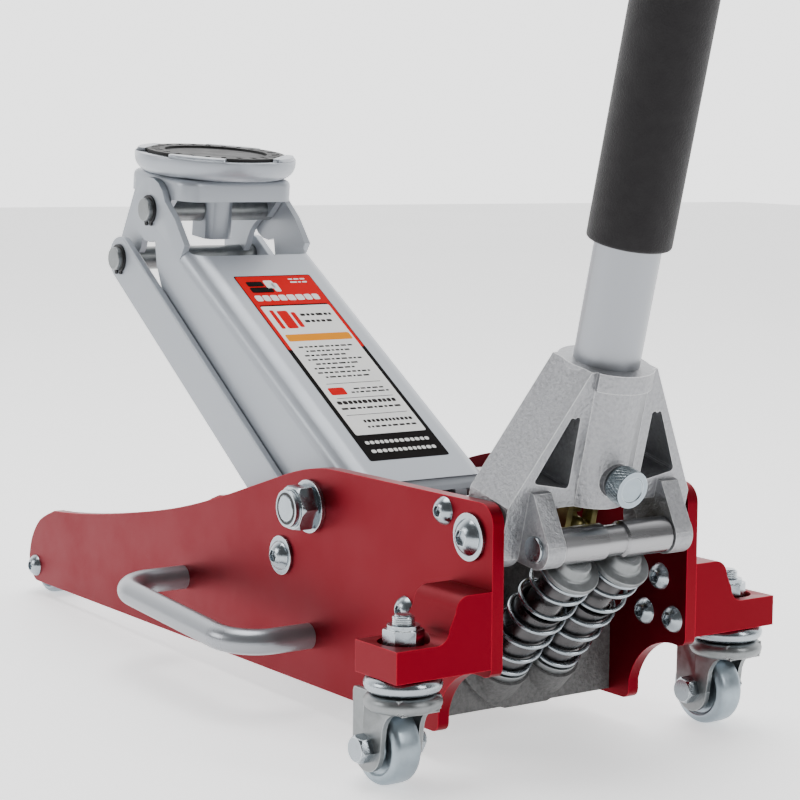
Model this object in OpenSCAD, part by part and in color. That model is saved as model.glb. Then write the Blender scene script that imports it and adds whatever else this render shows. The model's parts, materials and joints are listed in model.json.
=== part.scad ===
// Hydraulic floor jack: two side plates, a lift arm on a levelling parallelogram,
// a twin-plunger pump worked by a handle in a cast yoke, and four wheels.
// Millimetres, +Z up, the saddle end towards -X, the handle end towards +X.

/* [Chassis] */
// Distance between the inner faces of the side plates
frame_inner_w = 114.4; // [113.6:0.2:116]
// Thickness of each side plate
plate_t = 6.6; // [6:0.1:7]
// Height of the flat top edge at the rear of the plates
plate_top = 132.3; // [131.5:0.1:133]
// Height of the lower edge of the plates
plate_low = 16; // [15:0.5:17]
// Overall width over the caster brackets
overall_w = 235; // [234:1:237]

/* [Lift linkage] */
// Distance from the arm pivot to the saddle pin
arm_len = 258.2; // [256:0.1:260]
// Angle of the arm above the horizontal as it stands
arm_angle = 35.1; // [35:0.1:36]
// Width over the two cheeks of the arm
arm_w = 87; // [86.5:0.5:87.5]
// Wall of the pressed arm
arm_t = 4; // [3.5:0.1:4]
// Diameter of the saddle pin and of the link pin
pin_d = 14; // [13:0.1:14]
// Diameter of the saddle rim
saddle_d = 97.3; // [94:0.1:98]

/* [Handle] */
// Lean of the handle back from the vertical
handle_lean = 14.3; // [14:0.1:16]
// Diameter of the handle tube
handle_d = 32; // [31:0.5:32]
// Distance from the yoke pivot to the end of the handle
handle_reach = 905; // [850:5:950]
// Outer diameter of the foam bumper sleeve
foam_d = 40.5; // [38:0.5:43]

/* [Pump] */
// Half the distance between the two pump axes
pump_y = 15.7; // [15.6:0.1:16]
// Lean of the pump axes back from the vertical
pump_lean = 44.6; // [44.4:0.1:44.8]
// Outer diameter of the pump spring
spring_od = 29.6; // [28:0.1:30]
// Wire of the pump spring
spring_wire = 2.4; // [2:0.1:2.6]

/* [Wheels] */
// Radius of the front wheels
front_r = 18.5; // [18:0.1:19]
// Radius of the caster wheels
caster_r = 18.7; // [18:0.1:19]

/* [Hidden] */
$fn = 64;

red = "#b01e32";
silver = "#b4b9be";
cast_aluminium = "#c8c8c8";
zinc = "#c4cbd0";
dark = "#2a2829";
cast_grey = "#6c6c6c";
yellow_zinc = "#b0a468";

// gap of a running fit, measured on the radius
fit = 0.05;
// overlap of a cutting tool past the face that it cuts
eps = 1;

// places in the chassis plane, [x, z]
plate_in = frame_inner_w / 2;
plate_out = plate_in + plate_t;
nose = [-494.7, 33.1];
arm_pivot = [-155.2, 110.7];
link_pivot = [-183.6, 80.5];
yoke_pivot = [-17.5, 115];
rod_at = [-38.2, 124.6];
casting_screw = [-69.8, 71];
front_axle_at = [-485.2, 26.7];
carry_front = [-290.3, 51];
carry_rear = [-157, 41.6];
bracket_screws_at = [[-19.5, 83.2], [-30.2, 63.7], [-9.2, 63.1]];
swivel_x = -17.5;
swivel_y = 101.5;
caster_x = -30;
seat_at = [-53.8, 45.3];

// the chassis slopes down to its smaller front wheels
chassis_tilt = asin((front_axle_at[1] - front_r) / (caster_x - front_axle_at[0]));
lift = caster_r - caster_x * sin(chassis_tilt) - caster_r * cos(chassis_tilt);
grip_r = 19;
tip = [yoke_pivot[0] + handle_reach * sin(handle_lean) + grip_r * cos(handle_lean),
       yoke_pivot[1] + handle_reach * cos(handle_lean) - grip_r * sin(handle_lean)];
rear_end = tip[0] * cos(chassis_tilt) - tip[1] * sin(chassis_tilt);
front_end = nose[0] * cos(chassis_tilt) - nose[1] * sin(chassis_tilt);
origin_x = (rear_end + front_end) / 2;

// screws and shafts
screw_d = 8;
pivot_d = 12;
arm_shaft_d = 14;
axle_d = 8;

// arm: its top face falls towards the saddle
arm_top = 16.8;
arm_taper = atan(0.045);
arm_round = 12;
window_at = 202;
lobe_end = 212;
// the cheeks of the window step in by this much
step = 0.05;
lobe_r = 19.4;
// how far the two pins stand out past the cheeks and the links
pin_past = 4.4;
link_h = 26.6;
link_in = arm_w / 2 + 0.7;
link_t = 4.8;
head_lean = 6.5;
head_half = arm_w / 2 - arm_t - 0.5;

// ram and the lug that it pushes
ram_z = 75;
lug_r = 38;
lug_swing = 13.4;
ram_d = 32;
lug_at = [arm_pivot[0] - lug_r * sin(lug_swing), arm_pivot[1] - lug_r * cos(lug_swing)];

// yoke, in its own frame: x rearward, z along the handle
yoke_front = -15.7;
yoke_rear = 14.3;
yoke_half = 56;
socket_top = 84;
roller_at = [25.3, 2.3];
roller_r = 8.85;
roller_half = 33.5;
roller_pin_d = 12.7;
lug_out = 44.3;
thumb_z = 31.5;

// pump, in its own frame: z along the plunger, 0 at the spring seat
cap_top = 74.7;
cap_t = 2.5;
boss_h = 6;
barrel_top = 44;
barrel_d = 24;
plunger_d = 18;
coils = 6.5;

function arc(c, r, a0, a1, n = 8) =
    [for (i = [0:n]) [c[0] + r * cos(a0 + (a1 - a0) * i / n), c[1] + r * sin(a0 + (a1 - a0) * i / n)]];

// a smooth line through the points p, k steps to a span
function spline(p, k = 4) = [for (i = [0:len(p) - 2], j = [0:k - 1])
    let (t = j / k, a = p[max(i - 1, 0)], b = p[i], c = p[i + 1], d = p[min(i + 2, len(p) - 1)])
    0.5 * (2 * b + (c - a) * t + (2 * a - 5 * b + 4 * c - d) * t * t
        + (3 * b - a - 3 * c + d) * t * t * t)];

// stands the chassis on its wheels, with the origin under the middle of the jack
module place() translate([-origin_x, 0, lift]) rotate([0, -chassis_tilt, 0]) children();
// for each side: -1 is left, 1 is right
module both() for (side = [-1, 1]) scale_side(side) children();
module scale_side(side) if (side < 0) mirror([0, 1, 0]) children(); else children();
// extrudes an outline drawn as [x, z] along y, from y0 to y1
module slab(y0, y1) translate([0, y1, 0]) rotate([90, 0, 0]) linear_extrude(y1 - y0) children();
// a round bar along y through [x, z]
module bar(at, d, y0, y1) translate([at[0], y0, at[1]]) rotate([-90, 0, 0]) cylinder(d = d, h = y1 - y0);
module in_handle() translate([yoke_pivot[0], 0, yoke_pivot[1]]) rotate([0, handle_lean, 0]) children();
module in_arm() translate([arm_pivot[0], 0, arm_pivot[1]]) rotate([0, arm_angle, 0]) children();
module in_head() in_arm() translate([-arm_len, 0, 0]) rotate([0, head_lean - arm_angle, 0]) children();
module in_pump(side) translate([seat_at[0], side * pump_y, seat_at[1]]) rotate([0, pump_lean, 0]) children();
module hexagon(af, h) cylinder(d = af / cos(30), h = h, $fn = 6);

// ---- chassis ----

// domed screw along y with its head outside y = face
module button_screw(at, face, reach, d = screw_d, head = 14, sunk = 5) {
    crown = 5;
    ball = (head * head / 4 + crown * crown) / (2 * crown);
    translate([at[0], face, at[1]]) rotate([-90, 0, 0]) difference() {
        union() {
            translate([0, 0, -reach]) cylinder(d = d, h = reach + 0.5);
            intersection() {
                translate([0, 0, crown - ball]) sphere(r = ball);
                cylinder(d = head, h = crown);
            }
        }
        translate([0, 0, crown - 2.5]) hexagon(sunk, 3);
    }
}

module washer(at, y0, od, id, t) difference() {
    bar(at, od, y0, y0 + t);
    bar(at, id, y0 - eps, y0 + t + eps);
}

top_line = [[-457.9, 66.1], [-435, 67.9], [-394, 73], [-342.5, 81.4], [-294, 91.1],
    [-250, 102.8], [-206, 116.3], [-169.3, 127.4], [-144.8, 131.8], [-128, plate_top]];
plate_outline = concat(
    arc([-480, 31], 15, 250, 175, 6),
    spline([nose, [-490.5, 45], [-478.5, 57.6], [-457.9, 66.1]], 4),
    spline(top_line, 4),
    arc([-10, plate_top - 10], 10, 90, 0),
    arc([-4, 54.5], 4, 0, -90, 3),
    arc([-9.5, 17.5], 33, 82, 166, 12),
    arc([-46, plate_low + 4], 4.5, 0, -90, 4));

module side_plate() difference() {
    slab(plate_in, plate_out) polygon(plate_outline);
    for (p = concat([rod_at, casting_screw, front_axle_at, carry_front, carry_rear], bracket_screws_at))
        bar(p, screw_d, plate_in - eps, plate_out + eps);
    for (p = [link_pivot, yoke_pivot]) bar(p, pivot_d, plate_in - eps, plate_out + eps);
    bar(arm_pivot, arm_shaft_d, plate_in - eps, plate_out + eps);
}
module side_plate_left() color(red) place() scale_side(-1) side_plate();
module side_plate_right() color(red) place() side_plate();

bracket_low = 54.8;
bracket_tongue = 70;
bracket_top = 91.8;
bracket_len = 33.5;
bracket_outline = concat([[plate_out, bracket_low], [overall_w / 2, bracket_low],
        [overall_w / 2, bracket_tongue]],
    arc([95, bracket_tongue + 7], 7, 270, 180), arc([77, bracket_top - 7.5], 7.5, 0, 90),
    [[plate_out, bracket_top]]);
module caster_bracket() difference() {
    translate([-bracket_len, 0, 0]) rotate([90, 0, 90]) linear_extrude(bracket_len)
        polygon(bracket_outline);
    translate([swivel_x, swivel_y, bracket_tongue - 3]) cylinder(d = 24.6, h = 10);
    translate([swivel_x, swivel_y, bracket_low - eps]) cylinder(d = 10, h = 30);
    for (p = bracket_screws_at) bar(p, screw_d, plate_out - eps, plate_out + 14);
}
module caster_bracket_left() color(red) place() scale_side(-1) caster_bracket();
module caster_bracket_right() color(red) place() caster_bracket();

carry_d = 13.6;
carry_bend = 22;
carry_out = 107.5;
carry_run = norm(carry_rear - carry_front);
carry_fall = atan((carry_front[1] - carry_rear[1]) / (carry_rear[0] - carry_front[0]));
module carry_corner() rotate_extrude(angle = 90) translate([carry_bend, 0]) circle(d = carry_d);
module carry_handle() translate([carry_front[0], 0, carry_front[1]]) rotate([0, carry_fall, 0]) {
    difference() {
        union() {
            for (x = [0, carry_run]) bar([x, 0], carry_d, plate_out, carry_out - carry_bend);
            translate([carry_bend, carry_out, 0]) rotate([0, 90, 0])
                cylinder(d = carry_d, h = carry_run - 2 * carry_bend);
            translate([carry_run - carry_bend, carry_out - carry_bend, 0]) carry_corner();
            translate([carry_bend, carry_out - carry_bend, 0]) rotate([0, 0, 90]) carry_corner();
        }
        for (x = [0, carry_run]) bar([x, 0], screw_d, plate_out - eps, plate_out + 14);
    }
}
module carry_handle_left() color(silver) place() scale_side(-1) carry_handle();
module carry_handle_right() color(silver) place() carry_handle();

front_wheel_in = 38;
front_wheel_w = 18;
module front_axle() color(zinc) place() difference() {
    union() {
        bar(front_axle_at, 12, -plate_in, plate_in);
        bar(front_axle_at, 16, 0.5 - front_wheel_in, front_wheel_in - 0.5);
    }
    for (s = [-1, 1]) bar(front_axle_at, screw_d, s * plate_in - 14, s * plate_in + 14);
}
// a plain roller wheel with a recess in each face, turned about y
module disc_wheel(at, y0, w, r, bore, rim, hub, sunk) translate([at[0], y0 + w, at[1]])
    rotate([90, 0, 0]) rotate_extrude() difference() {
        polygon([[bore, 0], [hub, 0], [hub + 1, sunk], [rim, sunk], [rim + 1, 0], [r - 3, 0],
            [r - 1, 0.9], [r - 0.25, 2.3], [r, 4], [r, w - 4], [r - 0.25, w - 2.3], [r - 1, w - 0.9],
            [r - 3, w], [rim + 1, w],
            [rim, w - sunk], [hub + 1, w - sunk], [hub, w], [bore, w]]);
    }
module front_wheel() disc_wheel(front_axle_at, front_wheel_in, front_wheel_w, front_r,
    6 + fit, 14, 9, 2);
module front_wheel_left() color(zinc) place() scale_side(-1) front_wheel();
module front_wheel_right() color(zinc) place() front_wheel();

module frame_screws() color(zinc) place() both() {
    for (p = [rod_at, casting_screw, front_axle_at]) button_screw(p, plate_out, plate_t + 12);
    for (p = concat(bracket_screws_at, [carry_front, carry_rear]))
        translate([0, 2 * plate_in, 0]) mirror([0, 1, 0])
            button_screw(p, plate_in, plate_t + 12);
}
module cross_rod() color(zinc) place() difference() {
    bar(rod_at, 12, -plate_in, plate_in);
    for (s = [-1, 1]) bar(rod_at, screw_d, s * plate_in - 14, s * plate_in + 14);
}

washer_t = 1.6;
module pivot_washers() color(zinc) place() both() {
    washer(arm_pivot, plate_out, 28, arm_shaft_d, 2.5);
    washer(link_pivot, plate_out, 21, pivot_d, washer_t);
    washer(yoke_pivot, plate_out, 23, pivot_d, washer_t);
}
module arm_shaft() color(zinc) place() bar(arm_pivot, arm_shaft_d, -plate_out - 16, plate_out + 16);
module arm_nuts() color(zinc) place() both() translate([arm_pivot[0], plate_out + 2.5, arm_pivot[1]])
    rotate([-90, 0, 0]) difference() {
        union() {
            intersection() {
                hexagon(22, 10);
                cylinder(r1 = 11.4, r2 = 15.4, h = 4);
            }
            intersection() {
                translate([0, 0, 4]) hexagon(22, 6);
                translate([0, 0, 4]) cylinder(r1 = 15.4, r2 = 10.6, h = 7);
            }
            cylinder(d = 19.5, h = 13);
        }
        translate([0, 0, -eps]) cylinder(d = arm_shaft_d, h = 20);
    }
module link_shoulder_screws() color(zinc) place() both()
    button_screw(link_pivot, plate_out + washer_t, plate_out + washer_t - link_in, pivot_d, 16, 6);
module yoke_pivot_screws() color(zinc) place() both()
    button_screw(yoke_pivot, plate_out + washer_t, plate_out + washer_t - lug_out, pivot_d, 18, 7);

// ---- power unit ----

casting_rear = -57;
casting_front = -90;
module power_unit() color(cast_grey) place() difference() {
    union() {
        translate([casting_front, -plate_in, 18]) cube([casting_rear - casting_front, frame_inner_w, 44]);
        translate([casting_front, 0, ram_z]) rotate([0, 90, 0])
            cylinder(r = 38, h = casting_rear - casting_front);
        intersection() {
            translate([casting_rear - eps, 0, 62]) rotate([0, 90, 0]) cylinder(r = 46, h = 4);
            translate([casting_rear - 2, -plate_in, 18]) cube([8, frame_inner_w, 52]);
        }
        both() intersection() {
            in_pump(1) translate([0, 0, -60]) cylinder(d = 33, h = 58);
            translate([casting_front, 0, 18]) cube([60, plate_in, 60]);
        }
        // valve boss
        translate([yoke_pivot[0], 0, yoke_pivot[1]]) rotate([0, valve_lean, 0])
            translate([0, 0, -58]) cylinder(d = 20, h = 22);
    }
    both() in_pump(1) {
        translate([0, 0, -24]) cylinder(d = barrel_d, h = 60);
        translate([0, 0, -2]) cylinder(d = spring_od + 1.4, h = 40);
    }
    translate([casting_front - eps, 0, ram_z]) rotate([0, 90, 0])
        cylinder(d = cylinder_d, h = cylinder_rear - casting_front + eps);
    both() bar(casting_screw, screw_d, plate_in - 12, plate_in + eps);
    translate([yoke_pivot[0], 0, yoke_pivot[1]]) rotate([0, valve_lean, 0])
        translate([0, 0, -47]) cylinder(d = 10 + 2 * fit, h = 47);
    translate([-78, 0, 100]) cylinder(d = 12, h = 30);
}
cylinder_d = 50;
cylinder_front = -118;
cylinder_rear = -66;
module ram_cylinder() color(zinc) place() translate([cylinder_front, 0, ram_z]) rotate([0, 90, 0])
    difference() {
        cylinder(d = cylinder_d, h = cylinder_rear - cylinder_front);
        translate([0, 0, -eps]) cylinder(d = ram_d + 2 * fit, h = cylinder_rear - 4 - cylinder_front);
    }
module reservoir_tube() color(dark) place() translate([-112, 0, ram_z]) rotate([0, 90, 0])
    difference() {
        cylinder(d = 74, h = casting_front + 112);
        translate([0, 0, -eps]) cylinder(d = cylinder_d, h = 5);
        translate([0, 0, 3]) cylinder(d = 68, h = 40);
    }
module filler_plug() color(dark) place() translate([-78, 0, 100]) difference() {
    union() {
        cylinder(d = 12, h = 13);
        translate([0, 0, 12.9]) cylinder(d = 17, h = 4);
    }
    translate([0, 0, 13]) hexagon(6, 6);
}
module pump_barrels() color(zinc) place() both() in_pump(1) difference() {
    translate([0, 0, -24]) cylinder(d = barrel_d, h = 24 + barrel_top);
    translate([0, 0, -20]) cylinder(d = plunger_d + 4 * fit, h = 80);
    translate([0, 0, barrel_top - 2]) cylinder(r1 = plunger_d / 2, r2 = barrel_d / 2 - 0.6, h = 2.6);
}
module spring_seats() color(zinc) place() both() in_pump(1) difference() {
    translate([0, 0, -2]) cylinder(d = spring_od + 0.4, h = 3.5);
    translate([0, 0, -3]) cylinder(d = barrel_d, h = 6);
}

// ---- arm ----

function head_xy(a) = [-arm_len + lobe_r * cos(a), lobe_r * sin(a)];
arm_outline = concat([[5.1, 25]],
    arc([0, -3], 19.8, 75, -70, 12),
    [[-60, -40], [-205, -38], [-232, -22]],
    [for (i = [0:14]) head_xy(-35 - i * 19.6)],
    [[-arm_len + 28, 13.5], [-lobe_end, 8], [-lobe_end + 5, 25]]);
module arm_section(half, r, top) {
    translate([-half, top - 90]) square([2 * half, 90 - r]);
    translate([-half + r, top - 90]) square([2 * half - 2 * r, 90]);
    for (s = [-1, 1]) translate([s * (half - r), top - r]) circle(r = r);
}
module arm_tube(half, r, top) rotate([0, -arm_taper, 0]) translate([-300, 0, 0])
    rotate([90, 0, 90]) linear_extrude(340) arm_section(half, r, top);
window_half = arm_w / 2 - arm_t + step;
window_r = 9;
window_outline = concat([[-300, -window_half], [-300, window_half]],
    arc([-window_at - window_r, window_half - window_r], window_r, 90, 0),
    arc([-window_at - window_r, window_r - window_half], window_r, 0, -90));
module lift_arm() color(silver) place() in_arm() difference() {
    intersection() {
        slab(-60, 60) polygon(arm_outline);
        union() {
            arm_tube(arm_w / 2, arm_round, arm_top);
            translate([-300, step - arm_w / 2, -60]) cube([300 - lobe_end, arm_w - 2 * step, 120]);
        }
    }
    arm_tube(arm_w / 2 - arm_t, arm_round - arm_t, arm_top - arm_t);
    translate([0, 0, -65]) linear_extrude(130) polygon(window_outline);
    bar([0, 0], 24, -65, 65);
    bar([-arm_len, 0], pin_d, -65, 65);
}
module arm_pivot_tube() color(zinc) place() difference() {
    bar(arm_pivot, 24, -55.5, 55.5);
    bar(arm_pivot, arm_shaft_d + 2 * fit, -60, 60);
}
module ram_lugs() color(silver) place() both() difference() {
    intersection() {
        slab(17, 25) union() {
            translate(arm_pivot) circle(r = 17);
            translate(lug_at) circle(r = 12);
            polygon([arm_pivot + [-16, 5], arm_pivot + [16, -5], lug_at + [12, 0], lug_at + [-12, 0]]);
        }
        // the arm's top wall
        in_arm() arm_tube(arm_w / 2 - arm_t, arm_round - arm_t, arm_top - arm_t);
    }
    bar(arm_pivot, 24, 10, 30);
    bar(lug_at, 12, 10, 30);
}
module ram_pin() color(zinc) place() bar(lug_at, 12, -38, 38);
module saddle_pin() color(zinc) place() in_arm()
    bar([-arm_len, 0], pin_d, -arm_w / 2 - pin_past, arm_w / 2 + pin_past);
// a circlip in a groove, with its two eyes below
module clip(at, y) {
    difference() {
        bar(at, pin_d + 3.4, y, y + 1.2);
        bar(at, pin_d, y - eps, y + 3);
        translate([at[0] - 2, y - eps, at[1] - 12]) cube([4, 4, 12]);
    }
    for (s = [-1, 1]) translate([at[0] + s * 2.8, y, at[1] - pin_d / 2 - 1.2]) rotate([-90, 0, 0])
        difference() {
            cylinder(d = 2.8, h = 1.2);
            translate([0, 0, -eps]) cylinder(d = 1.2, h = 4);
        }
}
module saddle_pin_clips() color(dark) place() in_arm() translate([-arm_len, 0, 0])
    rotate([0, -arm_angle, 0]) both() clip([0, 0], arm_w / 2);

// ---- levelling links ----

function far_end(p) = p + arm_len * [-cos(arm_angle), sin(arm_angle)];
saddle_pin_at = far_end(arm_pivot);
link_pin_at = far_end(link_pivot);
module level_link() difference() {
    translate([link_pivot[0], 0, link_pivot[1]]) rotate([0, arm_angle, 0]) slab(link_in, link_in + link_t) {
        circle(d = link_h);
        translate([-arm_len, 0]) circle(d = link_h);
        translate([-arm_len, -link_h / 2]) square([arm_len, link_h]);
    }
    bar(link_pivot, pivot_d + 2 * fit, 30, 60);
    bar(link_pin_at, pin_d, 30, 60);
}
module level_link_left() color(silver) place() scale_side(-1) level_link();
module level_link_right() color(silver) place() level_link();
link_pin_half = link_in + link_t + pin_past;
module link_pin() color(zinc) place() bar(link_pin_at, pin_d, -link_pin_half, link_pin_half);
module link_pin_clips() color(dark) place() both() clip(link_pin_at, link_in + link_t);

// ---- saddle head, z = 0 at the saddle pin ----

head_front = -39;
head_rear = 33;
head_low = 8.6;
head_top = 21.1;
head_r = 12;
link_in_head = [-31.6, -27];
module round_box(x0, x1, half, r, h) {
    translate([x0 + r, -half, 0]) cube([x1 - x0 - 2 * r, 2 * half, h]);
    translate([x0, -half + r, 0]) cube([x1 - x0, 2 * half - 2 * r, h]);
    for (x = [x0 + r, x1 - r], y = [r - half, half - r]) translate([x, y, 0]) cylinder(r = r, h = h);
}
module saddle_bracket() color(silver) place() difference() {
    in_head() {
        difference() {
            translate([0, 0, head_low])
                round_box(head_front, head_rear, head_half, head_r, head_top - head_low);
            translate([0, 0, head_low - eps])
                round_box(head_front + 4, head_rear - 4, head_half - 4, head_r - 4, head_top - head_low - 3);
            translate([0, 0, -eps]) cylinder(d = 26, h = 40);
        }
        both() slab(head_half - 4, head_half) polygon(concat([[head_front + head_r, head_low + 2]],
            arc(link_in_head, 11.5, 150, 320), arc([9, -30], 26, 170, 95, 6),
            [[head_rear - head_r, head_low + 2]]));
    }
    bar(saddle_pin_at, pin_d + 2 * fit, -60, 60);
    bar(link_pin_at, pin_d + 2 * fit, -60, 60);
}
rim_low = 21.4;
rim_h = 12;
rim_r = saddle_d / 2;
module saddle() color(silver) place() difference() {
    in_head() {
        translate([0, 0, rim_low]) rotate_extrude() polygon(concat([[0, 0], [rim_r - 13, 0]],
            arc([rim_r - 9, 9], 9, 270, 360, 6), [[rim_r, rim_h], [rim_r - 5, rim_h],
            [rim_r - 6.5, rim_h - 3], [0, rim_h - 3]]));
        for (a = [45:90:315]) rotate([0, 0, a]) intersection() {
            translate([rim_r - 9, -17, rim_low + rim_h - 3.2]) cube([12, 34, 5]);
            translate([0, 0, rim_low]) cylinder(r = rim_r - 1.2, h = 20);
        }
        intersection() {
            translate([-11, -9, -17]) cube([22, 18, 17 + rim_low + 1]);
            translate([0, 0, -18]) cylinder(d = 24, h = 50);
        }
    }
    bar(saddle_pin_at, pin_d + 2 * fit, -60, 60);
}
pad_r = 42;
pad_low = rim_low + rim_h - 3;
module saddle_pad() color(dark) place() in_head() translate([0, 0, pad_low]) difference() {
    cylinder(r = pad_r, h = 4.8);
    translate([0, 0, 3.4]) cylinder(r = 31, h = 3);
    for (a = [45:90:315]) rotate([0, 0, a]) translate([rim_r - 9.3, -17.3, -1]) cube([20, 34.6, 9]);
    for (i = [0:23]) rotate([0, 0, i * 15 + 7.5]) translate([34, -1.6, 3.2]) cube([5, 3.2, 3]);
}

// ---- ram ----

ram_head_half = 16;
slot_half = 6 + 1.2;
module ram() color(zinc) place() difference() {
    union() {
        translate([lug_at[0], 0, ram_z]) rotate([0, 90, 0]) cylinder(d = ram_d, h = 59);
        translate([lug_at[0] - 13, -ram_head_half, 63]) cube([26, 2 * ram_head_half, 27]);
    }
    translate([lug_at[0] + 0.5 - slot_half, -20, 65.5]) cube([2 * slot_half, 40, 22]);
}
spring_y = 33;
spring_fall = 8;
module return_springs() color(zinc) place() for (side = [-1, 1])
    translate([lug_at[0], side * spring_y, lug_at[1]]) rotate([0, 90 + spring_fall, 0])
        coil(1.6, 5.2, 7.2, 50.5, 10, 14);

// a helical wire as one closed skin
module coil(wire, r, z0, z1, turns, per_turn, sides = 6) {
    n = floor(turns * per_turn);
    ring = [for (i = [0:n], k = [0:sides - 1])
        let (a = 360 * i / per_turn, b = 360 * k / sides, q = r + wire / 2 * cos(b))
        [q * cos(a), q * sin(a), z0 + (z1 - z0) * i / n + wire / 2 * sin(b)]];
    polyhedron(ring, concat(
        [[for (k = [0:sides - 1]) k]],
        [for (i = [0:n - 1], k = [0:sides - 1]) let (m = (k + 1) % sides)
            [i * sides + k, (i + 1) * sides + k, (i + 1) * sides + m, i * sides + m]],
        [[for (k = [sides - 1:-1:0]) n * sides + k]]));
}

// ---- handle and yoke ----

yoke_outline = concat([[-20.2, socket_top], [20.2, socket_top], [yoke_half, 19]],
    [[yoke_half, -16], [lug_out, -16], [lug_out, 6], [34, 17], [-34, 17], [-lug_out, 6],
     [-lug_out, -16], [-yoke_half, -16], [-yoke_half, 19]]);
yoke_window = concat(arc([23.7, 60.4], 1.8, 150, 30, 3), arc([26.6, 60.2], 1.8, 90, 25, 3),
    arc([41, 31.8], 1.8, 10, -90, 3), arc([23.8, 28.6], 2, 270, 180, 3));
module handle_yoke() color(cast_aluminium) place() in_handle() difference() {
    union() {
        intersection() {
            translate([yoke_front, 0, 0]) rotate([90, 0, 90]) linear_extrude(yoke_rear - yoke_front)
                polygon(yoke_outline);
            slab(-60, 60) {
                circle(r = 16);
                translate([-30, 0]) square([60, 100]);
            }
        }
        translate([0, 0, 17]) cylinder(d = 43.5, h = socket_top - 17);
        intersection() {
            translate([0, 0, 75]) cylinder(d = 47, h = socket_top - 75);
            translate([-30, -17, 70]) cube([60, 34, 20]);
        }
        // boss of the thumb screw
        translate([0, 0, thumb_z]) rotate([0, 90, 0]) cylinder(d = 17, h = 23.5);
        both() slab(roller_half + 0.5, lug_out + 0.5) {
            translate(roller_at) circle(r = 9.7);
            polygon([[0, 26.5], [17.3, 26.5], [34.2, 6.2], [31, -5.6], [25.3, -7.4], [10, -9], [0, -9]]);
        }
    }
    translate([0, 0, 10]) cylinder(d = handle_d + 4 * fit, h = 100);
    both() {
        translate([yoke_rear - 22, 0, 0]) rotate([90, 0, 90]) linear_extrude(60)
            polygon(yoke_window);
        bar([0, 0], pivot_d + 2 * fit, 30, 70);
        bar(roller_at, roller_pin_d, 30, 60);
    }
    translate([0, 0, thumb_z]) rotate([0, 90, 0]) cylinder(d = 8 + 2 * fit, h = 40);
}
module roller_pin() color(zinc) place() in_handle() bar(roller_at, roller_pin_d, -46.5, 46.5);
module pump_roller() color(zinc) place() in_handle() translate([roller_at[0], roller_half, roller_at[1]])
    rotate([90, 0, 0]) rotate_extrude() polygon([[roller_pin_d / 2 + fit, 0], [roller_r - 0.6, 0],
        [roller_r, 0.6], [roller_r, 27], [7.5, 28], [7.5, 39], [roller_r, 40], [roller_r, 66.4],
        [roller_r - 0.6, 67], [roller_pin_d / 2 + fit, 67]]);
knob_d = 18;
knob_h = 9;
module thumb_screw() color(zinc) place() in_handle() translate([0, 0, thumb_z])
    rotate([0, 90, 0]) {
        translate([0, 0, 16.6]) cylinder(d = 8, h = 9);
        translate([0, 0, 24]) cylinder(d = 14, h = 2);
        difference() {
            translate([0, 0, 25.5]) cylinder(d = knob_d, h = knob_h);
            translate([0, 0, 25.5 + knob_h - 0.5]) cylinder(r1 = knob_d / 2 - 3, r2 = knob_d / 2 - 2.4, h = 0.7);
        }
    }
tube_low = 22;
module handle_tube() color(silver) place() in_handle() difference() {
    translate([0, 0, tube_low]) cylinder(d = handle_d, h = handle_reach - 8 - tube_low);
    translate([0, 0, tube_low - eps]) cylinder(d = handle_d - 4, h = handle_reach);
}
foam_low = 142;
foam_len = 440;
module foam_sleeve() color(dark) place() in_handle() difference() {
    translate([0, 0, foam_low]) cylinder(d = foam_d, h = foam_len);
    translate([0, 0, foam_low - eps]) cylinder(d = handle_d, h = foam_len + 3);
}
grip_low = 770;
module handle_grip() color(dark) place() in_handle() difference() {
    union() {
        translate([0, 0, grip_low]) cylinder(r = grip_r - 1, h = handle_reach - grip_low);
        for (z = [grip_low:9:handle_reach - 10]) translate([0, 0, z]) cylinder(r = grip_r, h = 5);
        translate([0, 0, handle_reach - 6]) cylinder(r = grip_r, h = 6);
    }
    translate([0, 0, grip_low - eps]) cylinder(d = handle_d, h = handle_reach - 8 - grip_low + eps);
}

// universal joint between the handle and the release valve
valve_lean = 69;
cross_d = 9;
module joint_fork(turn, pin_from) rotate([0, 0, turn]) {
    for (s = [-1, 1]) {
        translate([-3.5, s * 7.9 - 1.7, -2.8]) cube([7, 3.4, 16.3]);
        rotate([-s * 90, 0, 0]) translate([0, 0, pin_from]) cylinder(d = 4, h = 7 - pin_from);
    }
    translate([0, 0, 12.5]) cylinder(d = 18, h = 3);
}
module release_fork() color(yellow_zinc) place() in_handle() {
    joint_fork(0, cross_d / 2 + 0.4);
    translate([0, 0, 14]) cylinder(d = 16, h = 9);
    translate([0, 0, tube_low]) cylinder(d = handle_d - 4, h = 14);
}
module release_shaft() color(yellow_zinc) place() translate([yoke_pivot[0], 0, yoke_pivot[1]])
    rotate([0, valve_lean, 0]) {
        rotate([180, 0, 0]) joint_fork(90, 0);
        translate([0, 0, -46.5]) cylinder(d = 10, h = 33);
        rotate_extrude() polygon(arc([0, 0], cross_d / 2, -90, 90, 10));
    }

// ---- pumps ----

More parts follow.
